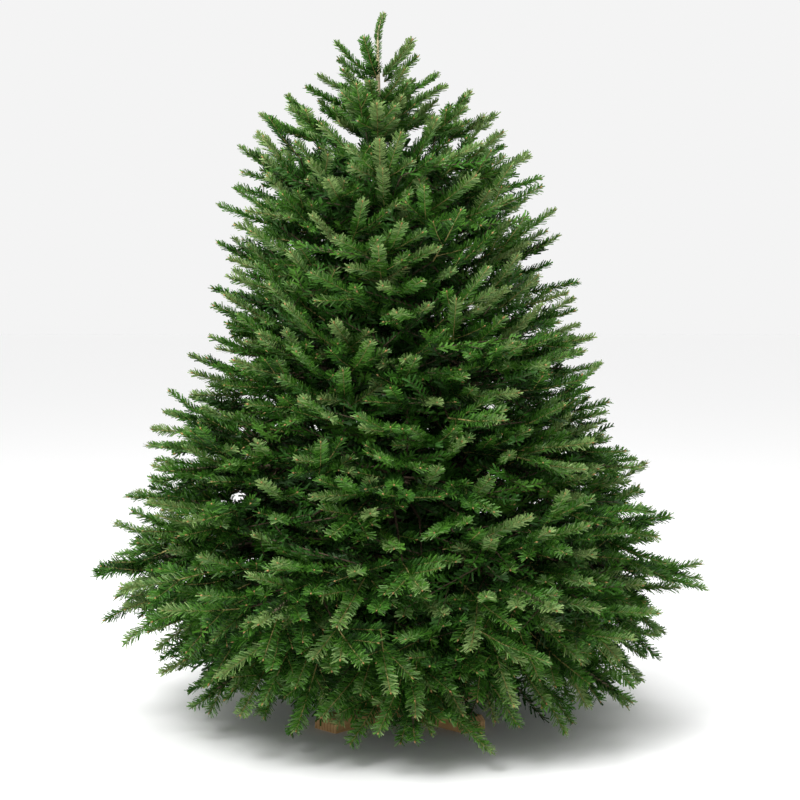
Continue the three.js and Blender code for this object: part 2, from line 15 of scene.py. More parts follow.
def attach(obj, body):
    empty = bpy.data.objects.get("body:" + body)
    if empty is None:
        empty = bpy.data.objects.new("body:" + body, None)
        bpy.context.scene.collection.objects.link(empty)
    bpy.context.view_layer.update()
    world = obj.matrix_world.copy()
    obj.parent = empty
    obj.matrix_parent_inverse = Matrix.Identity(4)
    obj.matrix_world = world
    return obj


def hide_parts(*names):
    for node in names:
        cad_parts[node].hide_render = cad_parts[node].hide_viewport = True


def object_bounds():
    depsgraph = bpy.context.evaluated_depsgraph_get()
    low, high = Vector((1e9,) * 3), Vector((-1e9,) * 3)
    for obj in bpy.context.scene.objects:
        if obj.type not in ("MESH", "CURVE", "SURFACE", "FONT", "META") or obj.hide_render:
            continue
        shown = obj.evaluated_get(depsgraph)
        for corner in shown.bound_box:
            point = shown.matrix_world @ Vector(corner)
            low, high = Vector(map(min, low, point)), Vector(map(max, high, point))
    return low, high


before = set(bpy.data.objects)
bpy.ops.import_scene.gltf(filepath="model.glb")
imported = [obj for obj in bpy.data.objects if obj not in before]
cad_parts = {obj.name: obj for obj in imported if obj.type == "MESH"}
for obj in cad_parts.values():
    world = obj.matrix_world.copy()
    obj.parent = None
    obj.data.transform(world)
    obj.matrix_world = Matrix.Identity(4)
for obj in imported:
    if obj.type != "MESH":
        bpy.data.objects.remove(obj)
cad_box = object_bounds()
rng = np.random.default_rng(20)

UP = np.array([0.0, 0.0, 1.0])
GOLDEN_ANGLE = math.pi * (3 - math.sqrt(5))
NUDGE = 1e-4  # keeps cross products with upright shoots from vanishing

# Whole tree and trunk, as in the part's source
TREE_HEIGHT = 2.1
TIP_LEAN = -0.066
TRUNK_BOW = 0.009
BUTT_HEIGHT = 0.0383
BUTT_RADIUS = 0.056
FLARE_HEIGHT = 0.130
STEM_RADIUS = 0.047
LEADER_RADIUS = 0.0024
TAPER_POWER = 0.9

# The leader's tip hooks to the right, from this height and by this much
HOOK_FOOT = 2.025
HOOK_REACH = 0.018

# Cross stand, as in the part's source
BOARD_DEPTH = 0.038
BRACE_FOOT = 0.245
STAND_TURN = math.pi / 4

# The crown's outline: height, reach to the left, reach to the right
CROWN = np.array([
    [0.250, 0.230, 0.230],
    [0.125, 0.420, 0.440],
    [0.058, 0.610, 0.700],
    [0.190, 0.745, 0.780],
    [0.345, 0.890, 0.850],
    [0.470, 0.908, 0.912],
    [0.560, 0.870, 0.862],
    [0.730, 0.785, 0.815],
    [0.955, 0.690, 0.665],
    [1.135, 0.560, 0.655],
    [1.240, 0.512, 0.610],
    [1.430, 0.490, 0.520],
    [1.580, 0.470, 0.510],
    [1.720, 0.398, 0.404],
    [1.825, 0.372, 0.330],
    [1.900, 0.266, 0.270],
    [1.965, 0.130, 0.135],
    [2.070, 0.030, 0.030],
])
HEM_ROW = 2  # the row where the underside turns up into the crown's side
SPIRAL_END = 13.6  # the row where the spiral gives way to the top whorls
SPIRAL_STEPS = 600
ROW_STEP = 1e-3  # between two points that give the outline's slope

# Tiers of limbs: number, height of root and of tip, lift, turn in degrees, share that is a bare bough
TIERS = [
    (6, 0.330, 0.150, 0.090, 30, 0.4),
    (7, 0.505, 0.465, 0.060, 39, 0.4),
    (6, 0.735, 0.800, 0.020, 30, 0.4),
    (5, 0.985, 1.125, -0.005, 18, 0.0),
    (4, 1.235, 1.410, -0.020, 0, 0.0),
    (4, 1.480, 1.680, -0.020, 0, 0.0),
]
LIMB_ROOT_SHARE = 0.36  # a limb's root radius against the trunk's there
STEM_REACH = 0.94  # a limb ends at this share of the crown's reach
LINE_STEPS = 6  # pieces of the line that stands for a limb where distances from it are taken
LEADER_FOOT = 1.790
LEADER_TOP = 2.060

# Whorls round the top: height and reach of the tips, rise in degrees, length, number, turn in degrees
WHORLS = [
    (1.802, 0.348, 25, 0.180, 8, 180),
    (1.862, 0.277, 47, 0.150, 4, 168),
    (1.878, 0.213, 22, 0.190, 5, 192),
    (1.918, 0.174, 28, 0.165, 6, 176),
    (1.968, 0.118, 34, 0.120, 2, 345),
    (2.012, 0.122, 42, 0.140, 5, 180),
]

# Whorls inside those, close round the trunk
INNER_WHORLS = [
    (1.838, 0.175, 38, 0.165, 7, 190),
    (1.885, 0.110, 52, 0.150, 6, 200),
]

# Profiles: heights, and values there
SHOOT_RISE = (
    (0.040, 0.190, 0.330, 0.500, 0.750, 1.150, 1.600, 1.850, 2.100),
    (-58, -44, -22, -2, 10, 20, 27, 36, 74),  # degrees
)
LONGER_NEAR_FLOOR = ((0.50, 1.00), (1.15, 1.0))
FEWER_HIGH_UP = ((0.90, 1.50), (1.0, 0.80))
EVEN = ((0, 1), (1, 1))

# Fronds. A depth is how far short of the crown's reach a frond ends, as a share of it.
OUTER_FRONDS = 590
INNER_FRONDS = 520
DEEP_FRONDS = 380
OUTER_DEPTH = (-0.03, 0.17)
INNER_DEPTH = (0.15, 0.46)
DEEP_DEPTH = (0.42, 0.80)
FROND_LENGTH = (0.262, 0.236)  # at the floor and at the leader's tip
FROND_SAG = 0.06  # how far its bend lies under its straight line, as a share of its length
UNDER_SHARE = 0.5  # how thickly fronds stand on the crown's underside against its side
ASIDE = 0.95  # fronds inside the crown point this far to the left or right of straight out, in radians
STEM_PULL = 0.28  # how much a frond points away from its limb, against straight out of the crown
PULL_POINT = 0.45  # the share of the limb that it points away from
FLOOR_CLEAR = 0.012
TRUNK_CLEAR = 0.006
SHORTEST_SHOOT = 0.02

# Side shoots
SIDE_BOW = 0.05  # how far its bend lies outside its straight line, as a share of its length
SIDE_SAG = 0.03  # how far under it
SIDE_SHARE = 0.88  # its needles against those on the leading shoot

# Older wood between a limb and a frond: it leaves along the limb and arrives along the frond
TWIG_CLIMB = 0.45  # the slope of a twig from the leader
TWIG_LOWEST = 1.60  # where such a twig leaves the trunk at the lowest
TWIG_SLANT = 0.75  # how far behind the nearest place a twig leaves its limb, against its distance
TWIG_PLACES = 40  # on a limb, where one may leave it
FIRST_TWIG = 0.04  # the first of them lies this far beyond the middle of the limb's bare part
TWIG_LEAVES = 0.30
TWIG_ARRIVES = 0.55

# Radii of wood
LEADING_RADII = (0.0024, 0.0015)
SIDE_RADII = (0.0019, 0.0012)
TWIG_RADIUS = 0.0028
TWIG_RADIUS_GAIN = 0.010  # for each metre of its length
TWIG_RADIUS_LIMITS = (0.003, 0.007)
TWIG_END_RADIUS = 0.0024

# Needles: length and width
NEEDLE_LENGTH = 0.0232
NEEDLE = (NEEDLE_LENGTH, 0.0036)
INNER_NEEDLE = (NEEDLE_LENGTH, 0.0066)
DEEP_NEEDLE = (0.0290, 0.0090)
OLDER_NEEDLE = (NEEDLE_LENGTH, 0.0090)
LIMB_NEEDLE = (NEEDLE_LENGTH, 0.0050)
LEADER_NEEDLE = (0.012, 0.003)

# Numbers of needles
NEEDLES_PER_METRE = 1035
FEWEST_NEEDLES = 6  # on a shoot
SPARSE_SHARE = 0.62  # of the full number, on the sparse part of a leading shoot

# The outer part of each limb bears needles, from this share of it
LIMB_NEEDLES_FROM = 0.45
LIMB_SHARE = 0.40  # of the full number
LIMB_WOOD_SHARE = 0.6  # the wood's radius there, against the limb's root
LIMB_WOOD_END = 0.003

# The leader's own shoots: foot, tip and share of needles
LEADER_SHOOTS = [(1.930, 2.020, 0.9), (2.020, 2.098, 2.4)]
LEADER_SHOOT_RADII = (0.004, 0.0026)

# Ages of shoots
LEADING = 0
BESIDE = 1
INSIDE = 2
OLDER = 3

# What is left to chance: its salt, and how far it spreads either way
SPREADS = {
    "limb turn": (0, 4),  # degrees
    "limb root": (40, 0.020),
    "limb tip": (20, 0.020),
    "length": (1, 0.20),
    "turn": (3, 0.66),  # radians, as the turns and rises below
    "turn aside": (3, 0.40),
    "rise": (4, 0.34),
    "roll": (5, 0.50),
    "side place": (10, 0.05),
    "side turn": (11, 0.18),
    "side lift": (12, 0.20),
    "side length": (40, 0.22),
}
SALTS = {
    "depth": 2, "side grown": 60, "green": 77, "paler": 78, "bud": 91, "lump place": 70, "lump width": 71,
}
SALTS_PER_JOINT = 4


@dataclass
class Kind:
    """What all fronds of one kind share."""
    joints: list  # side shoots: place along the frond, share of its length, angle in degrees, share that grow
    ages: tuple  # of the leading shoot and of those beside it
    needle: tuple
    share: float  # of the full number of needles
    longer: tuple = EVEN  # profile of the needles' length
    grown: tuple = EVEN  # profile of the number of side shoots
    sparse_to: float = 0.0  # up to this share of the leading shoot, needles stand further apart
    top: float = math.inf  # the fronds end below this height
    sides_below: float = math.inf  # fronds that end above this height have no side shoots
    older_needle: tuple = OLDER_NEEDLE
    older_share: float = 0.095


OUTER = Kind(
    joints=[(0.31, 0.42, 40, 0.84), (0.10, 0.50, 46, 0.50)],
    ages=(LEADING, BESIDE),
    needle=NEEDLE,
    share=1.0,
    longer=LONGER_NEAR_FLOOR,
    grown=FEWER_HIGH_UP,
    sparse_to=0.34,
)
INNER = Kind(
    joints=[(0.42, 0.48, 50, 0.92)],
    ages=(INSIDE, INSIDE),
    needle=INNER_NEEDLE,
    share=0.25,
    longer=LONGER_NEAR_FLOOR,
    top=1.72,
)
DEEP = replace(INNER, needle=DEEP_NEEDLE, longer=EVEN)
WHORL = Kind(
    joints=[(0.20, 0.48, 40, 0.92), (0.50, 0.40, 38, 0.75)],
    ages=(LEADING, BESIDE),
    needle=NEEDLE,
    share=1.3,
    sides_below=1.87,
    older_needle=NEEDLE,
    older_share=0.75,
)


def drawn(index, salt):
    x = np.sin(np.asarray(index) * 127.1 + salt * 311.7) * 43758.5453
    return x - np.floor(x)


def chance(index, what, more=0):
    """A number from 0 to 1."""
    return drawn(index, SALTS[what] + more)


def spread(index, what, more=0):
    """A number as far to either side of 0 as it spreads."""
    salt, amount = SPREADS[what]
    return (drawn(index, salt + more) * 2 - 1) * amount


def between(ends, share):
    return ends[0] + (ends[1] - ends[0]) * share


def unit(v):
    return v / np.maximum(np.linalg.norm(v, axis=-1, keepdims=True), 1e-12)


def turned(way, square, angle):
    """A direction, turned by an angle towards another one that is square to it."""
    angle = angle[..., None]
    return way * np.cos(angle) + square * np.sin(angle)


def level_out(azimuth, reach):
    x = np.cos(azimuth) * reach
    return np.stack([x, np.sin(azimuth) * reach, np.zeros_like(x)], axis=-1)


# Trunk and crown

def hooked(points):
    """Points near the leader's tip, moved with its hook."""
    share = np.clip((points[..., 2] - HOOK_FOOT) / (TREE_HEIGHT - HOOK_FOOT), 0, 1)
    moved = points.copy()
    moved[..., 0] += HOOK_REACH * share**2
    return moved


def trunk_axis(z):
    z = np.asarray(z, float)
    share = z / TREE_HEIGHT
    x = TIP_LEAN * share + TRUNK_BOW * np.sin(2 * np.pi * share)
    return np.stack([x, np.zeros_like(z), z], axis=-1)


def trunk_radius(z):
    z = np.asarray(z, float)
    taper = between((STEM_RADIUS, LEADER_RADIUS), (z / TREE_HEIGHT) ** TAPER_POWER)
    flare = np.clip(1 - (z - BUTT_HEIGHT) / FLARE_HEIGHT, 0, 1)
    return taper + (BUTT_RADIUS - STEM_RADIUS) * flare**2


def from_trunk_axis(points):
    return np.hypot(points[..., 0] - trunk_axis(points[..., 2])[..., 0], points[..., 1])


def outline_at(row, azimuth):
    rows = np.arange(len(CROWN))
    z, left, right = (np.interp(row, rows, column) for column in CROWN.T)
    return z, between((left, right), (1 + np.cos(azimuth)) / 2)


def reach_at(z, azimuth):
    rows = np.arange(HEM_ROW, len(CROWN))
    return outline_at(np.interp(z, CROWN[HEM_ROW:, 0], rows), azimuth)[1]


def crown_point(z, azimuth, reach):
    return trunk_axis(z) + level_out(azimuth, reach)


def outward_at(azimuth, rise):
    return level_out(azimuth, np.cos(rise)) + UP * np.sin(rise)[..., None]


# Limbs

def bezier(points, t):
    t = np.asarray(t, float)[..., None]
    a, b, c = points
    return a * (1 - t) ** 2 + 2 * b * t * (1 - t) + c * t**2


def bezier_tangent(points, t):
    t = np.asarray(t, float)[..., None]
    a, b, c = points
    return unit((b - a) * (1 - t) + (c - b) * t)


def make_limbs():
    limbs = []
    for tier, (count, root_z, tip_z, lift, turn, start) in enumerate(TIERS):
        for i in range(count):
            azimuth = math.radians(turn + spread(i, "limb turn", tier)) + i * 2 * math.pi / count
            root = trunk_axis(root_z + spread(i, "limb root", tier))
            z = tip_z + spread(i, "limb tip", tier)
            tip = crown_point(z, azimuth, reach_at(z, azimuth) * STEM_REACH)
            bend = (root + tip) / 2 + UP * lift
            limbs.append({
                "name": f"{tier + 1}_{i + 1}",
                "azimuth": azimuth,
                "curve": (root, bend, tip),
                "root_radius": trunk_radius(root[2]) * LIMB_ROOT_SHARE,
                "start": start,
            })
    return limbs


limbs = make_limbs()
leader_line = [trunk_axis(z) for z in (LEADER_FOOT, (LEADER_FOOT + LEADER_TOP) / 2, LEADER_TOP)]
masses = limbs + [{"name": "leader", "curve": leader_line, "start": 0.0}]
LEADER = len(masses) - 1
mass_lines = np.stack([bezier(m["curve"], np.linspace(m["start"], 1, LINE_STEPS + 1)) for m in masses])
pull_points = np.stack([bezier(m["curve"], m["start"] + (1 - m["start"]) * PULL_POINT) for m in masses])


def nearest_mass(points):
    a, b = mass_lines[:, :-1], mass_lines[:, 1:]
    run = b - a
    best = np.full((len(points), len(masses)), np.inf)
    for k in range(LINE_STEPS):
        away = points[:, None] - a[None, :, k]
        t = np.clip((away * run[:, k]).sum(-1) / (run[:, k] ** 2).sum(-1), 0, 1)
        gap = np.linalg.norm(away - t[..., None] * run[:, k], axis=-1)
        best = np.minimum(best, gap)
    return best.argmin(1)


# Fronds, each as its tip, direction, length, mass and roll

def spiral_rows(count):
    """The rows of targets on a golden spiral, one for each equal share of the crown's outline."""
    rows = (np.arange(SPIRAL_STEPS) + 0.5) / SPIRAL_STEPS * SPIRAL_END
    z0, r0 = outline_at(rows, np.pi / 2)
    z1, r1 = outline_at(rows + ROW_STEP, np.pi / 2)
    areas = np.where(rows < HEM_ROW, UNDER_SHARE, 1) * r0 * np.hypot(z1 - z0, r1 - r0)
    covered = np.cumsum(areas) / areas.sum() * count
    return rows[np.minimum(np.searchsorted(covered, np.arange(count) + 0.5), SPIRAL_STEPS - 1)]


def spiral_fronds(count, depths, aside, salt):
    """Fronds to the spiral's targets; aside turns them to the left or right of straight out."""
    index = np.arange(count)
    row = spiral_rows(count)
    azimuth = index * GOLDEN_ANGLE
    z, reach = outline_at(row, azimuth)
    depth = between(depths, chance(index, "depth", salt))
    length = between(FROND_LENGTH, z / TREE_HEIGHT) * (1 + spread(index, "length", salt))
    tip = crown_point(z, azimuth, reach * (1 - depth))
    mass = nearest_mass(tip)
    turn = spread(index, "turn aside" if aside else "turn", salt) + np.where(index % 2, aside, -aside)
    growth_z = np.where(row < HEM_ROW, CROWN[HEM_ROW, 0], z)
    rise = np.radians(np.interp(growth_z, *SHOOT_RISE)) + spread(index, "rise", salt)
    outward = outward_at(azimuth + turn, rise)
    pull = 0 if aside else STEM_PULL
    forward = unit(outward * (1 - pull) + unit(tip - pull_points[mass]) * pull)
    return tip, forward, length, mass, spread(index, "roll", salt)


def end_fronds():
    """The last frond of each limb, which goes on from it to the crown's outline."""
    rows = []
    for limb in limbs:
        forward = bezier_tangent(limb["curve"], 1.0)
        end = bezier(limb["curve"], 1.0)
        out = reach_at(end[2], limb["azimuth"]) * (1 - STEM_REACH) / math.hypot(*forward[:2])
        rows.append((end + forward * out, forward, between(FROND_LENGTH, end[2] / TREE_HEIGHT)))
    tip, forward, length = (np.array(x) for x in zip(*rows))
    return tip, forward, length, np.arange(len(limbs)), np.zeros(len(limbs))


def whorl_fronds(whorls):
    rows = []
    for tip_z, reach, rise, length, count, turn in whorls:
        for i in range(count):
            azimuth = math.radians(turn) + i * 2 * math.pi / count
            forward = outward_at(azimuth, math.radians(rise))
            rows.append((crown_point(tip_z, azimuth, reach), forward, length))
    tip, forward, length = (np.array(x) for x in zip(*rows))
    return tip, forward, length, nearest_mass(tip), np.zeros(len(rows))


# Shoots

class Shoots:
    """Shoots as columns. Each is a quadratic curve from its foot over its bend to its tip."""

    points = ("foot", "bend", "tip", "up")
    numbers = ("mass", "age", "foot_radius", "tip_radius", "long", "wide", "share", "sparse_to")

    def __init__(self):
        self.columns = {name: [] for name in self.points + self.numbers}

    def add(self, curve, up, mass, age, radii, needle, share, sparse_to=0.0):
        """Shoots with this share of the full number of needles, which stand further apart up to sparse_to."""
        count = len(curve[0])
        values = (*curve, up, mass, age, *radii, *needle, share, sparse_to)
        for (name, column), value in zip(self.columns.items(), values):
            shape = (count, 3) if name in self.points else (count,)
            column.append(np.broadcast_to(np.asarray(value, float), shape))

    def long_enough(self):
        """All shoots but the shortest, one array for each column, and their lengths."""
        joined = {name: np.concatenate(column) for name, column in self.columns.items()}
        length = np.linalg.norm(joined["tip"] - joined["foot"], axis=1)
        keep = length > SHORTEST_SHOOT
        return {name: column[keep] for name, column in joined.items()}, length[keep]


shoots = Shoots()


def side_and_over(forward, roll):
    """The direction to the side of a shoot and the one over it, rolled about it."""
    level = unit(np.cross(forward, UP))
    over = np.cross(level, forward)
    return turned(level, over, roll), turned(over, -level, roll)


def add_frond_shoots(tip, forward, length, mass, roll, kind, seed):
    """The leading shoot of each frond, and the side shoots that its years' growth bears."""
    index = np.arange(len(tip)) + seed
    across, over = side_and_over(forward, roll)
    root = tip - forward * length[:, None]
    bend = (root + tip) / 2 - over * (FROND_SAG * length)[:, None]
    long, wide = kind.needle
    long = long * np.interp(tip[:, 2], *kind.longer)
    full = 1 - kind.sparse_to * (1 - SPARSE_SHARE)
    shoots.add(
        (root, bend, tip), up=over, mass=mass, age=kind.ages[0], radii=LEADING_RADII, needle=(long, wide),
        share=kind.share * full, sparse_to=kind.sparse_to,
    )
    for k, (along, share, angle, grown) in enumerate(kind.joints):
        grown_here = grown * np.interp(tip[:, 2], *kind.grown)
        for hand in (-1, 1):
            own = SALTS_PER_JOINT * k + hand
            foot = bezier((root, bend, tip), along + spread(index, "side place", own))
            turn = np.radians(angle) + spread(index, "side turn", own)
            lift = spread(index, "side lift", own)[:, None]
            reach = (length * share * (1 + spread(index, "side length", own)))[:, None]
            end = foot + unit(turned(forward, across * hand, turn) + over * lift) * reach
            side_bend = (foot + end) / 2 + (across * (hand * SIDE_BOW) - over * SIDE_SAG) * reach
            keep = (chance(index, "side grown", own) < grown_here) & (tip[:, 2] < kind.sides_below)
            shoots.add(
                (foot[keep], side_bend[keep], end[keep]), up=over[keep], mass=mass[keep], age=kind.ages[1],
                radii=SIDE_RADII, needle=(long[keep], wide), share=kind.share * SIDE_SHARE,
            )
    return root


def foot_on_limb(mass, point):
    """Where the twig to a point leaves its limb: behind the nearest place, so that it slants outward."""
    m = masses[mass]
    if mass == LEADER:
        z = np.clip(point[2] - TWIG_CLIMB * from_trunk_axis(point), TWIG_LOWEST, LEADER_TOP)
        return trunk_axis(z), UP
    places = np.linspace(m["start"] / 2 + FIRST_TWIG, 1, TWIG_PLACES)
    line = bezier(m["curve"], places)
    gaps = np.linalg.norm(line - point, axis=1)
    near = int(gaps.argmin())
    run = np.linalg.norm(line[-1] - line[0])
    place = max(places[0], places[near] - TWIG_SLANT * gaps[near] / run)
    return bezier(m["curve"], place), bezier_tangent(m["curve"], place)


def add_older_wood(root, forward, mass, kind):
    """The twig from each limb to the root of its frond, with needles on its outer part."""
    foot, bend = [], []
    for point, way, m in zip(root, forward, mass):
        start, tangent = foot_on_limb(int(m), point)
        gap = np.linalg.norm(point - start)
        foot.append(start)
        bend.append((start + tangent * gap * TWIG_LEAVES + point - way * gap * TWIG_ARRIVES) / 2)
    foot = np.array(foot)
    length = np.linalg.norm(root - foot, axis=1)
    thick = np.clip(TWIG_RADIUS + length * TWIG_RADIUS_GAIN, *TWIG_RADIUS_LIMITS)
    shoots.add(
        (foot, np.array(bend), root), up=UP, mass=mass, age=OLDER, radii=(thick, TWIG_END_RADIUS),
        needle=kind.older_needle, share=kind.older_share,
    )


def add_fronds(fronds, kind, seed):
    """Fronds of one kind, but for those that would touch the trunk or the floor."""
    tip, forward, length, mass, roll = fronds
    tip[:, :2] = np.clip(tip[:, :2], cad_box[0][:2], cad_box[1][:2])
    root = tip - forward * length[:, None]
    clear = from_trunk_axis(root) > trunk_radius(root[:, 2]) + TRUNK_CLEAR
    keep = clear & (tip[:, 2] > FLOOR_CLEAR) & (root[:, 2] > FLOOR_CLEAR) & (tip[:, 2] < kind.top)
    tip, forward, length, mass, roll = (x[keep] for x in (tip, forward, length, mass, roll))
    root = add_frond_shoots(tip, forward, length, mass, roll, kind, seed)
    add_older_wood(root, forward, mass, kind)


def add_limb_needles():
    """The outer part of each limb."""
    for m, limb in enumerate(limbs):
        _, bend, tip = limb["curve"]
        foot = bezier(limb["curve"], LIMB_NEEDLES_FROM)
        bend = bend * (1 - LIMB_NEEDLES_FROM) + tip * LIMB_NEEDLES_FROM
        radii = (limb["root_radius"] * LIMB_WOOD_SHARE, LIMB_WOOD_END)
        shoots.add((foot[None], bend, tip), UP, m, OLDER, radii, LIMB_NEEDLE, LIMB_SHARE)


def add_leader_needles():
    """Short needles, close to the leader."""
    for low, high, share in LEADER_SHOOTS:
        foot, bend, tip = (trunk_axis(np.array([z])) for z in (low, (low + high) / 2, high))
        curve = (foot, bend, hooked(tip))
        shoots.add(curve, (0, -1, 0), LEADER, BESIDE, LEADER_SHOOT_RADII, LEADER_NEEDLE, share)


add_fronds(spiral_fronds(OUTER_FRONDS, OUTER_DEPTH, aside=0, salt=0), OUTER, seed=0)
add_fronds(spiral_fronds(INNER_FRONDS, INNER_DEPTH, aside=ASIDE, salt=60), INNER, seed=2000)
add_fronds(spiral_fronds(DEEP_FRONDS, DEEP_DEPTH, aside=ASIDE, salt=120), DEEP, seed=3000)
add_fronds(end_fronds(), OUTER, seed=4000)
add_fronds(whorl_fronds(WHORLS + INNER_WHORLS), WHORL, seed=5000)
add_limb_needles()
add_leader_needles()
grown, lengths = shoots.long_enough()


# Materials

def linear(color):
    """A colour from its red, green and blue from 0 to 255."""
    shares = [c / 255 for c in color]
    return tuple(c / 12.92 if c <= 0.04045 else ((c + 0.055) / 1.055) ** 2.4 for c in shares)


def material(name, color, roughness, specular=0.5):
    made = bpy.data.materials.new(name)
    made.use_nodes = True
    shader = made.node_tree.nodes["Principled BSDF"]
    shader.inputs["Base Color"].default_value = (*linear(color), 1)
    shader.inputs["Roughness"].default_value = roughness
    shader.inputs["Specular IOR Level"].default_value = specular
    return made


def fill_ramp(node, stops):
    """A colour ramp's stops: places with linear colours."""
    elements = node.color_ramp.elements
    for element, (place, color) in zip(elements, (stops[0], stops[-1])):
        element.position = place
        element.color = (*color, 1)
    for place, color in stops[1:-1]:
        elements.new(place).color = (*color, 1)


class Nodes:
    """Short forms for the nodes of a material or the world."""

    def __init__(self, made):
        self.tree = made.node_tree
        self.shader = self.tree.nodes.get("Principled BSDF")

    def put(self, value, target):
        """A number, a vector or another node's output, put into an input."""
        if isinstance(value, bpy.types.NodeSocket):
            self.tree.links.new(value, target)
        else:
            target.default_value = value

    def new(self, kind, inputs=None, **settings):
        node = self.tree.nodes.new("ShaderNode" + kind)
        for name, value in settings.items():
            setattr(node, name, value)
        for name, value in (inputs or {}).items():
            self.put(value, node.inputs[name])
        return node

    def place(self, scale=(1, 1, 1), rotation=(0, 0, 0), vector=None):
        """Object coordinates, turned and then stretched."""
        vector = vector or self.new("TexCoord").outputs["Object"]
        return self.new("Mapping", {"Rotation": rotation, "Scale": scale, "Vector": vector}).outputs["Vector"]

    def noise(self, vector, scale, detail=4, roughness=0.5):
        inputs = {"Scale": scale, "Detail": detail, "Roughness": roughness, "Vector": vector}
        return self.new("TexNoise", inputs).outputs["Fac"]

    def ramp(self, factor, stops):
        """A colour ramp: stops are places with colours from 0 to 255."""
        node = self.new("ValToRGB", {"Fac": factor})
        fill_ramp(node, [(place, linear(color)) for place, color in stops])
        return node.outputs["Color"]

    def mix(self, factor, a, b):
        """Two colours mixed: outputs, or colours from 0 to 255."""
        colors = [(*linear(color), 1) if isinstance(color, tuple) else color for color in (a, b)]
        return self.new("Mix", {0: factor, 6: colors[0], 7: colors[1]}, data_type="RGBA").outputs[2]

    def rescale(self, value, old, new):
        """A value from the old range, moved to the new one."""
        inputs = {"From Min": old[0], "From Max": old[1], "To Min": new[0], "To Max": new[1], "Value": value}
        return self.new("MapRange", inputs).outputs["Result"]

    def base_color(self, color):
        self.put(color, self.shader.inputs["Base Color"])

    def roughness(self, value):
        self.put(value, self.shader.inputs["Roughness"])

    def bump(self, height, distance):
        bump = self.new("Bump", {"Distance": distance, "Strength": 1.0, "Height": height})
        self.put(bump.outputs["Normal"], self.shader.inputs["Normal"])


def bark_material():
    """Smooth young bark: grey-brown with paler patches and small blisters, and pale beige up the leader."""
    made = material("bark_grey", (118, 104, 86), roughness=0.82, specular=0.3)
    n = Nodes(made)
    stops = [(0.30, (66, 54, 44)), (0.48, (104, 90, 74)), (0.60, (132, 118, 98)), (0.75, (158, 148, 126))]
    patches = n.ramp(n.noise(n.place((1, 1, 0.6)), scale=22, detail=6, roughness=0.6), stops)
    blister = n.new("TexVoronoi", {"Scale": 85, "Vector": n.place((1, 1, 1.8))})
    spots = n.rescale(blister.outputs["Distance"], (0.12, 0.34), (1, 0))
    color = n.mix(n.rescale(spots, (0, 1), (0, 0.45)), patches, (164, 150, 124))
    split = n.new("SeparateXYZ", {0: n.new("TexCoord").outputs["Object"]})
    n.base_color(n.mix(n.rescale(split.outputs["Z"], (1.45, 1.95), (0, 0.85)), color, (186, 172, 138)))
    n.roughness(n.rescale(patches, (0, 1), (0.9, 0.72)))
    fine = n.noise(n.place((1, 1, 0.25)), scale=260, detail=3)
    height = n.new("Math", {0: spots, 1: fine}, operation="ADD")
    n.bump(height.outputs[0], distance=0.0012)
    return made


def twig_material(name, color, spotted):
    """A twig's skin, with fine spots of another tone."""
    made = material(name, color, roughness=0.75, specular=0.3)
    n = Nodes(made)
    tone = n.noise(n.place(), scale=120, detail=3)
    n.base_color(n.ramp(tone, [(0.3, spotted), (0.62, color)]))
    n.roughness(n.rescale(tone, (0, 1), (0.65, 0.85)))
    n.bump(tone, distance=0.0004)
    return made


def timber_material(name, turn, climbs):
    """Sawn softwood, its grain along a piece that lies at this angle or climbs at 45 degrees from there."""
    made = material(name, (196, 156, 104), roughness=0.7, specular=0.3)
    n = Nodes(made)
    along = n.place(rotation=(0, 0, -turn))
    if climbs:
        along = n.place(rotation=(0, math.radians(135), 0), vector=along)
    wander = n.noise(n.place((2.5, 26, 26), vector=along), scale=1.6, detail=2)
    stretched = n.place((0.10, 1, 1), vector=along)
    inputs = {"Scale": 26, "Distortion": 5, "Detail": 2, "Detail Scale": 0.6, "Vector": stretched}
    rings = n.new("TexWave", inputs, wave_type="BANDS", bands_direction="Y")
    grain = n.ramp(rings.outputs["Fac"], [(0, (170, 124, 74)), (0.35, (200, 158, 104)), (1, (218, 182, 130))])
    stain = n.ramp(wander, [(0.35, (150, 112, 70)), (0.7, (214, 180, 130))])
    fibres = n.noise(n.place((6, 420, 420), vector=along), scale=1, detail=3)
    n.base_color(n.mix(n.rescale(fibres, (0.35, 0.7), (0.28, 0)), n.mix(0.35, grain, stain), (120, 84, 50)))
    n.roughness(n.rescale(fibres, (0, 1), (0.82, 0.62)))
    n.bump(fibres, distance=0.0006)
    return made


def end_grain_material():
    """The trunk's sawn foot: growth rings round its axis."""
    made = material("end_grain", (206, 172, 122), roughness=0.75, specular=0.3)
    n = Nodes(made)
    inputs = {"Scale": 60, "Distortion": 1.5, "Vector": n.place()}
    rings = n.new("TexWave", inputs, wave_type="RINGS", rings_direction="Z").outputs["Fac"]
    n.base_color(n.ramp(rings, [(0.1, (168, 124, 78)), (0.6, (214, 180, 132))]))
    n.bump(rings, distance=0.0004)
    return made


def steel_material():
    made = material("screw_steel", (168, 156, 128), roughness=0.4)
    n = Nodes(made)
    n.shader.inputs["Metallic"].default_value = 1.0
    tone = n.noise(n.place(), scale=400, detail=3)
    n.base_color(n.ramp(tone, [(0.3, (150, 136, 104)), (0.7, (186, 176, 150))]))
    n.roughness(n.rescale(tone, (0.3, 0.7), (0.5, 0.3)))
    return made


# Meshes

def linked(name, data):
    """A new object in the scene."""
    made = bpy.data.objects.new(name, data)
    bpy.context.scene.collection.objects.link(made)
    return made


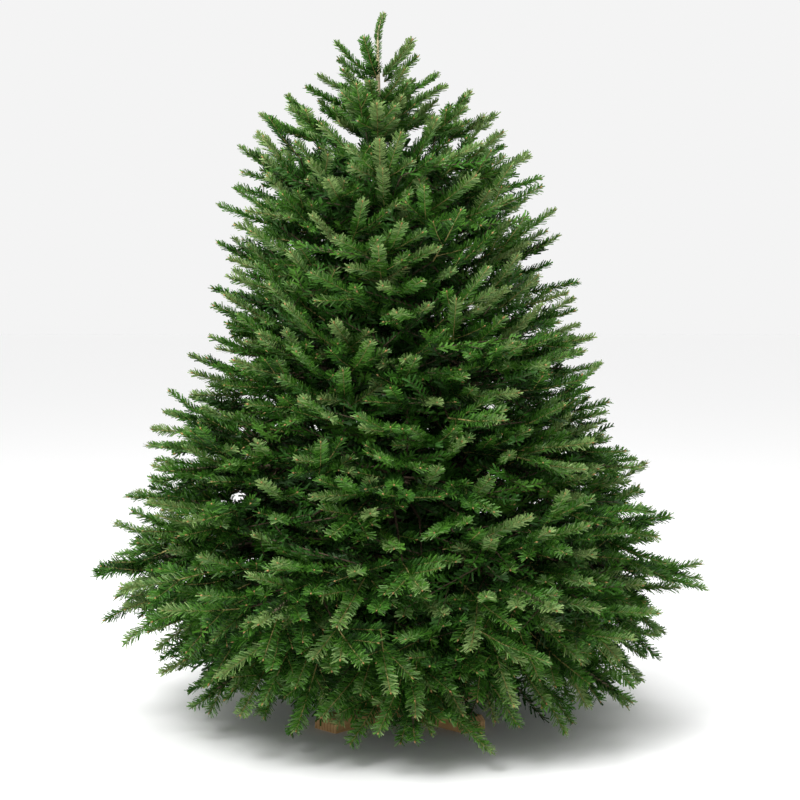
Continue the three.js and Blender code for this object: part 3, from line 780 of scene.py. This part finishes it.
def mesh_object(name, vertices, faces, sides, material_index=None, smooth=False):
    """One object from arrays: faces is flat, with the same number of sides for each face."""
    mesh = bpy.data.meshes.new(name)
    count = len(faces) // sides
    mesh.vertices.add(len(vertices))
    mesh.vertices.foreach_set("co", np.ascontiguousarray(vertices, np.float32).ravel())
    mesh.loops.add(len(faces))
    mesh.loops.foreach_set("vertex_index", np.ascontiguousarray(faces, np.int32))
    mesh.polygons.add(count)
    mesh.polygons.foreach_set("loop_start", np.arange(0, count * sides, sides, dtype=np.int32))
    mesh.polygons.foreach_set("use_smooth", np.full(count, smooth))
    if material_index is not None:
        mesh.polygons.foreach_set("material_index", np.ascontiguousarray(material_index, np.int32))
    mesh.update(calc_edges=True)
    return linked(name, mesh)


def bmesh_object(name, bm):
    mesh = bpy.data.meshes.new(name)
    bm.to_mesh(mesh)
    bm.free()
    return linked(name, mesh)


def around(sides):
    """Angles of a ring's corners."""
    return np.arange(sides) * 2 * np.pi / sides


def ring_faces(steps, sides):
    """Four-sided faces between rings of points."""
    first = np.arange(steps)[:, None] * sides
    i = np.arange(sides)[None]
    j = (i + 1) % sides
    return np.stack([first + i, first + j, first + sides + j, first + sides + i], axis=-1).reshape(-1, 4)


def tubes(a, b, c, up, radius, sides):
    """Tubes along quadratic curves, with a row of radii for each: vertices and four-sided faces."""
    steps = radius.shape[1] - 1
    t = np.linspace(0, 1, steps + 1)
    curves = (a[:, None], b[:, None], c[:, None])
    along = bezier_tangent(curves, t)
    side = unit(np.cross(along, up[:, None] + NUDGE))
    ring = turned(side[:, :, None], np.cross(along, side)[:, :, None], around(sides))
    vertices = bezier(curves, t)[:, :, None] + ring * radius[:, :, None, None]
    first = np.arange(len(a)) * (steps + 1) * sides
    faces = ring_faces(steps, sides) + first[:, None, None]
    return vertices.reshape(-1, 3), faces.reshape(-1)


def tapered(root_radius, tip_radius, steps):
    return between((root_radius[:, None], tip_radius[:, None]), np.linspace(0, 1, steps + 1))


# Greens, darkest first. Each shoot is dealt one by the shares for its age, and young ones high up the next,
# as painted light falling from above.
GREENS = [
    ("needle_shade", (26, 58, 12), 0.55, 0.25),
    ("needle_deep", (38, 80, 17), 0.55, 0.25),
    ("needle_green", (55, 104, 26), 0.52, 0.25),
    ("needle_fresh", (76, 124, 38), 0.52, 0.25),
    ("needle_grey", (95, 130, 69), 0.50, 0.3),
    ("needle_light", (122, 147, 85), 0.50, 0.25),
]
greens = [material(*green) for green in GREENS]
GREEN_SHARES = {
    LEADING: (0.02, 0.12, 0.37, 0.37, 0.12, 0.0),
    BESIDE: (0.05, 0.28, 0.38, 0.22, 0.07, 0.0),
    INSIDE: (0.24, 0.38, 0.28, 0.10, 0.0, 0.0),
    OLDER: (0.45, 0.35, 0.20, 0.0, 0.0, 0.0),
}
TOP_LIGHT_FROM = 0.70  # the height where the first shoots are paler, as painted light from above
TOP_LIGHT_OVER = 1.10  # all are paler this far above it, as painted light from above


def shoot_greens():
    index = np.arange(len(lengths))
    dealt = chance(index, "green")
    green = np.zeros(len(lengths), int)
    for age, shares in GREEN_SHARES.items():
        of_age = grown["age"] == age
        green[of_age] = np.searchsorted(np.cumsum(shares)[:-1], dealt[of_age], side="right")
    # Young shoots high up get the next paler green: painted light from above.
    high = grown["tip"][:, 2] > TOP_LIGHT_FROM + TOP_LIGHT_OVER * chance(index, "paler")
    green[high & (grown["age"] < INSIDE)] += 1
    return green


green_of_shoot = shoot_greens()

# How needles stand. Their places run from 0 at the shoot's foot to 1 at its tip, and their levels from 0 over
# and under it to 1 at its sides. Openings are in degrees.
CROWD_POWER = 0.93  # of the place: needles stand a little closer towards the tip
OLDER_BARE = 0.20  # the share of older wood at its foot that is bare
TURN_NOISE = 0.9
TURN_PER_SHOOT = 1.7
TURN_KEPT = 0.80  # of the full circle, so that none point straight down from the shoot
TO_THE_SIDES = 0.19  # how far needles turn from over and under the shoot to its sides
OPENING = (42, 52)  # over and under the shoot, and at its sides
OPENING_SPREAD = 16
BUD_FROM = 0.96  # needles from here close round the bud
BUD_OPENING = (14, 64)
NEEDLE_RISE = 0.10
LENGTHS_BY_CHANCE = (0.88, 1.12)
LENGTHS_BY_LEVEL = (0.78, 1.12)
TIP_FROM = 0.94  # needles from here are shorter
TIP_LENGTH = 0.72
SUNK = 0.7  # a needle starts at this share of the wood's radius
FOOT_WIDTH = 0.8
END_WIDTH = 0.75
LOWEST = 0.002  # no needle reaches below this height

# This share of the needles on young shoots are shorter, broader and darker; the darker green is painted shade
# on the lower needles
UNDER_NEEDLES = 0.25
UNDER_LENGTH = 0.84
UNDER_WIDTH = 1.45

# On young shoots, each of these makes a needle one green paler or darker
PALER_PLACE = 0.62
PALER_PLACE_NOISE = 0.3
PALEST_PLACE = 0.86  # on leading shoots
DARKER_PLACE = 0.22
PALER_CHANCE = 0.20
DARKER_CHANCE = 0.25

NOISES = ("place", "turn", "opening", "length", "twist", "under", "green")


def needle_counts(which):
    full = lengths[which] * NEEDLES_PER_METRE * grown["share"][which]
    return np.maximum(FEWEST_NEEDLES, np.round(full)).astype(int)


def needle_places(shoot, order, count, noise):
    place = ((order + noise["place"]) / count) ** CROWD_POWER
    end = grown["sparse_to"][shoot]
    few = end * SPARSE_SHARE / (1 - end * (1 - SPARSE_SHARE))
    place = np.where(
        place < few, place * end / np.maximum(few, 1e-6), end + (place - few) * (1 - end) / (1 - few),
    )
    return np.where(grown["age"][shoot] == OLDER, OLDER_BARE + (1 - OLDER_BARE) * place, place)


def needle_corners(shoot, order, place, under, noise):
    curves = [grown[name][shoot] for name in ("foot", "bend", "tip")]
    along = bezier_tangent(curves, place)
    side = unit(np.cross(along, grown["up"][shoot] + NUDGE))
    over = np.cross(side, along)
    turn = order * GOLDEN_ANGLE + noise["turn"] * TURN_NOISE + shoot * TURN_PER_SHOOT
    turn = ((turn + np.pi) % (2 * np.pi) - np.pi) * TURN_KEPT
    turn = turn + TO_THE_SIDES * np.sin(2 * turn)
    radial = turned(over, side, turn)
    level = np.abs(np.sin(turn))
    opening = between(OPENING, level) + (noise["opening"] - 0.5) * OPENING_SPREAD
    opening = np.where(place > BUD_FROM, between(BUD_OPENING, noise["opening"]), opening)
    way = unit(turned(along, radial, np.radians(opening)) + UP * NEEDLE_RISE)

    long = grown["long"][shoot] * between(LENGTHS_BY_CHANCE, noise["length"])
    long = long * np.where(place > TIP_FROM, TIP_LENGTH, 1.0)
    long = long * between(LENGTHS_BY_LEVEL, level)
    long = np.where(under, long * UNDER_LENGTH, long)
    wide = grown["wide"][shoot] * np.where(under, UNDER_WIDTH, 1.0)

    normal = unit(radial - way * (radial * way).sum(-1)[:, None])
    twist = (noise["twist"] - 0.5) * np.pi
    half = turned(np.cross(way, normal), normal, twist) * (wide / 2)[:, None]
    radius = between((grown["foot_radius"][shoot], grown["tip_radius"][shoot]), place)
    foot = bezier(curves, place) + radial * (radius * SUNK)[:, None]
    end = foot + way * long[:, None]
    corners = np.stack([
        foot + half * FOOT_WIDTH,
        foot - half * FOOT_WIDTH,
        end - half * END_WIDTH,
        end + half * END_WIDTH,
    ], axis=1)
    corners[..., 2] = np.maximum(corners[..., 2], LOWEST)
    return corners


def needle_greens(shoot, place, under, noise):
    age = grown["age"][shoot]
    outward = place + (noise["turn"] - 0.5) * PALER_PLACE_NOISE
    paler = (outward > PALER_PLACE).astype(int) + ((age == LEADING) & (outward > PALEST_PLACE))
    paler = paler + (noise["green"] > 1 - PALER_CHANCE)
    # Under needles are one green darker: painted shade, as if shaded by the needles over them.
    darker = under.astype(int) + (place < DARKER_PLACE) + (noise["green"] < DARKER_CHANCE)
    change = np.where(age < INSIDE, paler - darker, 0)
    return np.clip(green_of_shoot[shoot] + change, 0, len(greens) - 1)


def needles_of(which):
    """Corners of the needles on the chosen shoots, four a needle, and the green of each needle."""
    counts = needle_counts(which)
    shoot = np.repeat(which, counts)
    order = np.arange(counts.sum()) - np.repeat(np.cumsum(counts) - counts, counts)
    noise = dict(zip(NOISES, rng.random((len(order), len(NOISES))).T))
    place = needle_places(shoot, order, np.repeat(counts, counts), noise)
    under = (noise["under"] < UNDER_NEEDLES) & (grown["age"][shoot] < INSIDE)
    return needle_corners(shoot, order, place, under, noise), needle_greens(shoot, place, under, noise)


# Needles are joined by neighbouring masses, into pieces of fewer triangles than this
PIECE_TRIANGLES = 190000


def needle_groups():
    """Groups of neighbouring masses: the shoots of each mass, and the solids that they replace."""
    groups = []
    room = 0
    for m, mass in enumerate(masses):
        members = np.flatnonzero(grown["mass"] == m)
        triangles = 2 * int(needle_counts(members).sum())
        if triangles > room:
            groups.append(([], []))
            room = PIECE_TRIANGLES
        groups[-1][0].append(members)
        groups[-1][1].append("foliage_" + mass["name"])
        room -= triangles
    return groups


for number, (members, replaced) in enumerate(needle_groups()):
    corners, green = needles_of(np.concatenate(members))
    vertices = corners.reshape(-1, 3)
    piece = mesh_object(f"needles_{number + 1}", vertices, np.arange(len(vertices)), 4, green)
    for made in greens:
        piece.data.materials.append(made)
    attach(piece, "root")
    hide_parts(*replaced)

# Twigs: pale young shoots outside, brown ones inside, and brown older wood
TWIG_SIDES = 3


def make_twigs():
    age = grown["age"]
    vertices, faces, tones = [], [], []
    first = 0
    for chosen, steps, tone in ((age < INSIDE, 2, 0), (age == INSIDE, 1, 1), (age == OLDER, 2, 1)):
        radius = tapered(grown["foot_radius"][chosen], grown["tip_radius"][chosen], steps)
        curves = (grown[name][chosen] for name in ("foot", "bend", "tip", "up"))
        points, quads = tubes(*curves, radius, TWIG_SIDES)
        vertices.append(points)
        faces.append(quads + first)
        tones.append(np.full(len(quads) // 4, tone))
        first += len(points)
    vertices, faces, tones = (np.concatenate(x) for x in (vertices, faces, tones))
    return mesh_object("twigs", vertices, faces, 4, tones, smooth=True)


twigs = make_twigs()
twigs.data.materials.append(twig_material("twig_tan", (172, 158, 100), (134, 118, 68)))
twigs.data.materials.append(twig_material("twig_brown", (88, 74, 56), (62, 50, 38)))
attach(twigs, "root")

# Buds, one at the tip of each young shoot: a foot, a ring and a point
BUD_SIZE = (0.0028, 0.0040)
BUD_SIDES = 5
BUD_SUNK = 0.001
BUD_RING_PLACE = 0.9  # of the size, as the next two
BUD_RING_RADIUS = 0.75
BUD_POINT_PLACE = 3.0


def make_buds():
    young = np.flatnonzero(grown["age"] < INSIDE)
    tip = grown["tip"][young]
    way = unit(tip - grown["bend"][young])
    across, over = side_and_over(way, np.zeros(len(way)))
    size = between(BUD_SIZE, chance(young, "bud"))
    ring = turned(across[:, None], over[:, None], around(BUD_SIDES))
    middle = tip + way * (size * BUD_RING_PLACE)[:, None]
    vertices = np.concatenate([
        (tip - way * BUD_SUNK)[:, None],
        middle[:, None] + ring * (size * BUD_RING_RADIUS)[:, None, None],
        (tip + way * (size * BUD_POINT_PLACE)[:, None])[:, None],
    ], axis=1)
    i = np.arange(BUD_SIDES) + 1
    j = i % BUD_SIDES + 1
    foot, point = np.zeros_like(i), np.full_like(i, BUD_SIDES + 1)
    one = np.concatenate([np.stack([foot, i, j], axis=1), np.stack([j, i, point], axis=1)])
    faces = one + (np.arange(len(tip)) * (BUD_SIDES + 2))[:, None, None]
    return mesh_object("buds", vertices.reshape(-1, 3), faces.reshape(-1), 3, smooth=True)


buds = make_buds()
buds.data.materials.append(twig_material("bud", (180, 142, 94), (144, 104, 62)))
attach(buds, "root")

# Bark: the trunk with its lumps, a collar round the root of each limb, and the limbs
TRUNK_SIDES = 40
TRUNK_HEIGHTS = np.concatenate([
    np.arange(BUTT_HEIGHT, 0.30, 0.009),
    np.arange(0.30, 2.085, 0.0085),
    [2.092, TREE_HEIGHT],
])
GRAIN_DEPTH = 0.07
GRAIN_PASSES = 2  # of smoothing
LUMPS = 90
LUMPS_OVER = 1.7  # the height over which they stand
LUMP_WIDTH = (0.004, 0.010)
LUMP_SHARE = 0.16  # a lump's height against its width
COLLAR_SHARE = 0.42  # a collar's height against its limb's radius
COLLAR_WIDTH = 1.15  # against that too
LIMB_SIDES = 10
LIMB_STEPS = 24
LIMB_END_RADIUS = 0.0035
LIMB_SWELLING = 0.35  # a limb is this much thicker at the trunk's skin
LIMB_SWELLING_LENGTH = 0.014
LIMB_UNEVEN = (0.964, 1.084)
CLOSED = 0.0005  # the last ring's radius, which all but closes a tube


def trunk_tube():
    """The trunk's vertices and faces."""
    angle = around(TRUNK_SIDES)
    plain = trunk_radius(TRUNK_HEIGHTS)[:, None]

    def swelling(azimuth, z, width, height):
        """A round swelling of the skin, on every ring and side."""
        round_trunk = ((angle - azimuth + np.pi) % (2 * np.pi) - np.pi) * plain
        away = round_trunk**2 + (TRUNK_HEIGHTS[:, None] - z) ** 2
        return height * np.exp(-away / (2 * width**2))

    grain = rng.random((len(TRUNK_HEIGHTS), TRUNK_SIDES))
    for _ in range(GRAIN_PASSES):
        grain = (grain + np.roll(grain, 1, 1) + np.roll(grain, -1, 1)) / 3
    radius = plain * (1 + (grain - 0.5) * GRAIN_DEPTH)
    for limb in limbs:
        root, bend, _ = limb["curve"]
        slope = (bend - root)[2] / np.hypot(*(bend - root)[:2])
        skin_z = root[2] + slope * trunk_radius(root[2])
        thick = limb["root_radius"]
        radius = radius + swelling(limb["azimuth"], skin_z, thick * COLLAR_WIDTH, thick * COLLAR_SHARE)
    for k in range(LUMPS):
        z = BUTT_HEIGHT + chance(k, "lump place") * LUMPS_OVER
        width = between(LUMP_WIDTH, chance(k, "lump width"))
        radius = radius + swelling(k * GOLDEN_ANGLE, z, width, width * LUMP_SHARE)
    radius[-1] = CLOSED
    vertices = hooked(trunk_axis(TRUNK_HEIGHTS))[:, None] + level_out(angle, radius)
    return vertices.reshape(-1, 3), ring_faces(len(TRUNK_HEIGHTS) - 1, TRUNK_SIDES).reshape(-1)


def limb_tubes():
    """The limbs' vertices and faces. A limb is widest at its collar, and a little uneven."""
    root, bend, tip = (np.array([limb["curve"][k] for limb in limbs]) for k in range(3))
    root_radius = np.array([limb["root_radius"] for limb in limbs])
    radius = tapered(root_radius, np.full(len(limbs), LIMB_END_RADIUS), LIMB_STEPS)
    length = np.linalg.norm(tip - root, axis=1)
    past_skin = np.linspace(0, 1, LIMB_STEPS + 1) * length[:, None] - trunk_radius(root[:, 2])[:, None]
    radius = radius * (1 + LIMB_SWELLING * np.exp(-np.maximum(past_skin, 0) / LIMB_SWELLING_LENGTH))
    radius = radius * between(LIMB_UNEVEN, rng.random(radius.shape))
    radius[:, -1] = CLOSED
    return tubes(root, bend, tip, np.tile(UP, (len(limbs), 1)), radius, LIMB_SIDES)


def make_bark():
    vertices, faces = trunk_tube()
    limb_vertices, limb_faces = limb_tubes()
    faces = np.concatenate([faces, limb_faces + len(vertices)])
    return mesh_object("bark", np.concatenate([vertices, limb_vertices]), faces, 4, smooth=True)


bark = make_bark()
bark.data.materials.append(bark_material())
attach(bark, "root")
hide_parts("trunk", *[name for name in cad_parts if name.startswith("bough_")])

# The sawn foot closes the trunk's lowest ring
FOOT_SHARE = 0.99  # its radius against the butt's


def make_sawn_foot():
    bm = bmesh.new()
    bmesh.ops.create_circle(bm, cap_ends=True, segments=TRUNK_SIDES, radius=BUTT_RADIUS * FOOT_SHARE,
                            matrix=Matrix.Translation((0, 0, BUTT_HEIGHT)))
    bmesh.ops.reverse_faces(bm, faces=bm.faces[:])
    return bmesh_object("sawn_foot", bm)


sawn_foot = make_sawn_foot()
sawn_foot.data.materials.append(end_grain_material())
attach(sawn_foot, "root")

# Cross stand: each board and brace is its solid with its arrises worn round
WEAR = 0.0018
FLAT_ANGLE = math.radians(1)
ARRIS_ANGLE = math.radians(30)
BRACES = 4


def brace_azimuth(i):
    return STAND_TURN + i * math.pi / 2


def worn_timber(node, turn, climbs):
    bm = bmesh.new()
    bm.from_mesh(bpy.data.objects[node].data)
    bmesh.ops.remove_doubles(bm, verts=bm.verts[:], dist=1e-5)
    bmesh.ops.dissolve_limit(bm, angle_limit=FLAT_ANGLE, verts=bm.verts[:], edges=bm.edges[:])
    arrises = [e for e in bm.edges if len(e.link_faces) == 2 and e.calc_face_angle() > ARRIS_ANGLE]
    bmesh.ops.bevel(
        bm, geom=arrises, offset=WEAR, segments=2, profile=0.5, affect="EDGES", clamp_overlap=True,
    )
    piece = bmesh_object(node.replace("stand_", "timber_"), bm)
    piece.data.materials.append(timber_material(node.replace("stand_", "grain_"), turn, climbs))
    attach(piece, "root")
    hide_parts(node)


worn_timber("stand_board_lower", STAND_TURN, False)
worn_timber("stand_board_upper", STAND_TURN + math.pi / 2, False)
for i in range(BRACES):
    worn_timber(f"stand_brace_{i + 1}", brace_azimuth(i), True)

# Screws: two near each end of a brace's outer face, which slopes at 45 degrees
SCREW_RADIUS = 0.0045
SCREW_SIDES = 24
SCREW_PLACES = (0.020, 0.205)  # up the brace from its foot
SCREW_ASIDE = 0.009
SCREW_PROUD = 0.0003
SCREW_RINGS = [(0.0, -0.0012), (0.22, -0.0012), (0.55, 0.0), (0.9, 0.0003), (1.0, -0.0004)]
CROSS_RING = 2  # the ring where the arms of the cross recess end
CROSS_DEPTH = 0.0010
SLOPE = math.sqrt(0.5)


def add_screw(bm, place, normal):
    """A countersunk head with a cross recess, its rim just proud of the timber."""
    placed = Matrix.Translation(place) @ Vector(normal).to_track_quat("Z", "Y").to_matrix().to_4x4()
    rows = []
    for number, (share, height) in enumerate(SCREW_RINGS):
        row = []
        for k, angle in enumerate(around(SCREW_SIDES)):
            in_cross = number == CROSS_RING and k % (SCREW_SIDES // 4) == 0
            x = math.cos(angle) * share * SCREW_RADIUS
            y = math.sin(angle) * share * SCREW_RADIUS
            row.append(bm.verts.new(placed @ Vector((x, y, -CROSS_DEPTH if in_cross else height))))
        rows.append(row)
    for low, high in zip(rows[:-1], rows[1:]):
        for k in range(SCREW_SIDES):
            j = (k + 1) % SCREW_SIDES
            bm.faces.new((low[k], high[k], high[j], low[j]))


def make_screws():
    bm = bmesh.new()
    for i in range(BRACES):
        azimuth = brace_azimuth(i)
        out = Vector((math.cos(azimuth), math.sin(azimuth), 0))
        across = Vector((-out.y, out.x, 0))
        for up_brace in SCREW_PLACES:
            for hand in (-1, 1):
                place = out * (BRACE_FOOT - up_brace * SLOPE) + across * hand * SCREW_ASIDE
                place.z = BOARD_DEPTH + SCREW_PROUD + up_brace * SLOPE
                add_screw(bm, place, (out + Vector((0, 0, 1))) * SLOPE)
    bmesh.ops.remove_doubles(bm, verts=bm.verts[:], dist=1e-6)
    return bmesh_object("screws", bm)


screws = make_screws()
screws.data.materials.append(steel_material())
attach(screws, "root")

# Stage, sky, lights and camera
FLOOR_REACH = 30
SKY = [(0.0, 0.905), (0.20, 0.905), (0.34, 0.54), (0.52, 0.42), (0.85, 1.3), (1.0, 1.4)]  # rises and greys
CAMERA_PLACE = (0, -5.2, 1.35)
CAMERA_DIP = 4.35  # degrees below level


def make_floor():
    corners = np.array([(-1, -1, 0), (1, -1, 0), (1, 1, 0), (-1, 1, 0)]) * FLOOR_REACH
    made = mesh_object("floor", corners, range(4), 4)
    made.data.materials.append(material("floor_pale", (250, 250, 250), roughness=0.9, specular=0.1))
    return made


def make_sky():
    world = bpy.data.worlds.new("studio")
    world.use_nodes = True
    n = Nodes(world)
    split = n.new("SeparateXYZ", {0: n.new("TexCoord").outputs["Generated"]})
    ramp = n.new("ValToRGB", {"Fac": split.outputs["Z"]})
    fill_ramp(ramp, [(rise, (grey, grey, grey)) for rise, grey in SKY])
    n.put(ramp.outputs["Color"], n.tree.nodes["Background"].inputs["Color"])
    return world


def area_light(name, place, aim, size, power):
    data = bpy.data.lights.new(name, "AREA")
    data.shape = "DISK"
    data.size = size
    data.energy = power
    light = linked(name, data)
    light.location = place
    light.rotation_euler = (Vector(aim) - Vector(place)).to_track_quat("-Z", "Y").to_euler()


def make_camera():
    data = bpy.data.cameras.new("camera")
    data.lens = 78
    data.sensor_width = 36
    made = linked("camera", data)
    made.location = CAMERA_PLACE
    made.rotation_euler = (math.radians(90 - CAMERA_DIP), 0, 0)
    return made


floor = make_floor()
bpy.context.scene.world = make_sky()
area_light("key", place=(-2.2, -2.8, 4.6), aim=(0, 0, 1.0), size=2.4, power=238)
area_light("top", place=(0.4, -0.4, 5.0), aim=(0, 0, 1.0), size=3.0, power=100)
camera = make_camera()
bpy.context.scene.camera = camera
bpy.context.scene.view_settings.view_transform = "Standard"
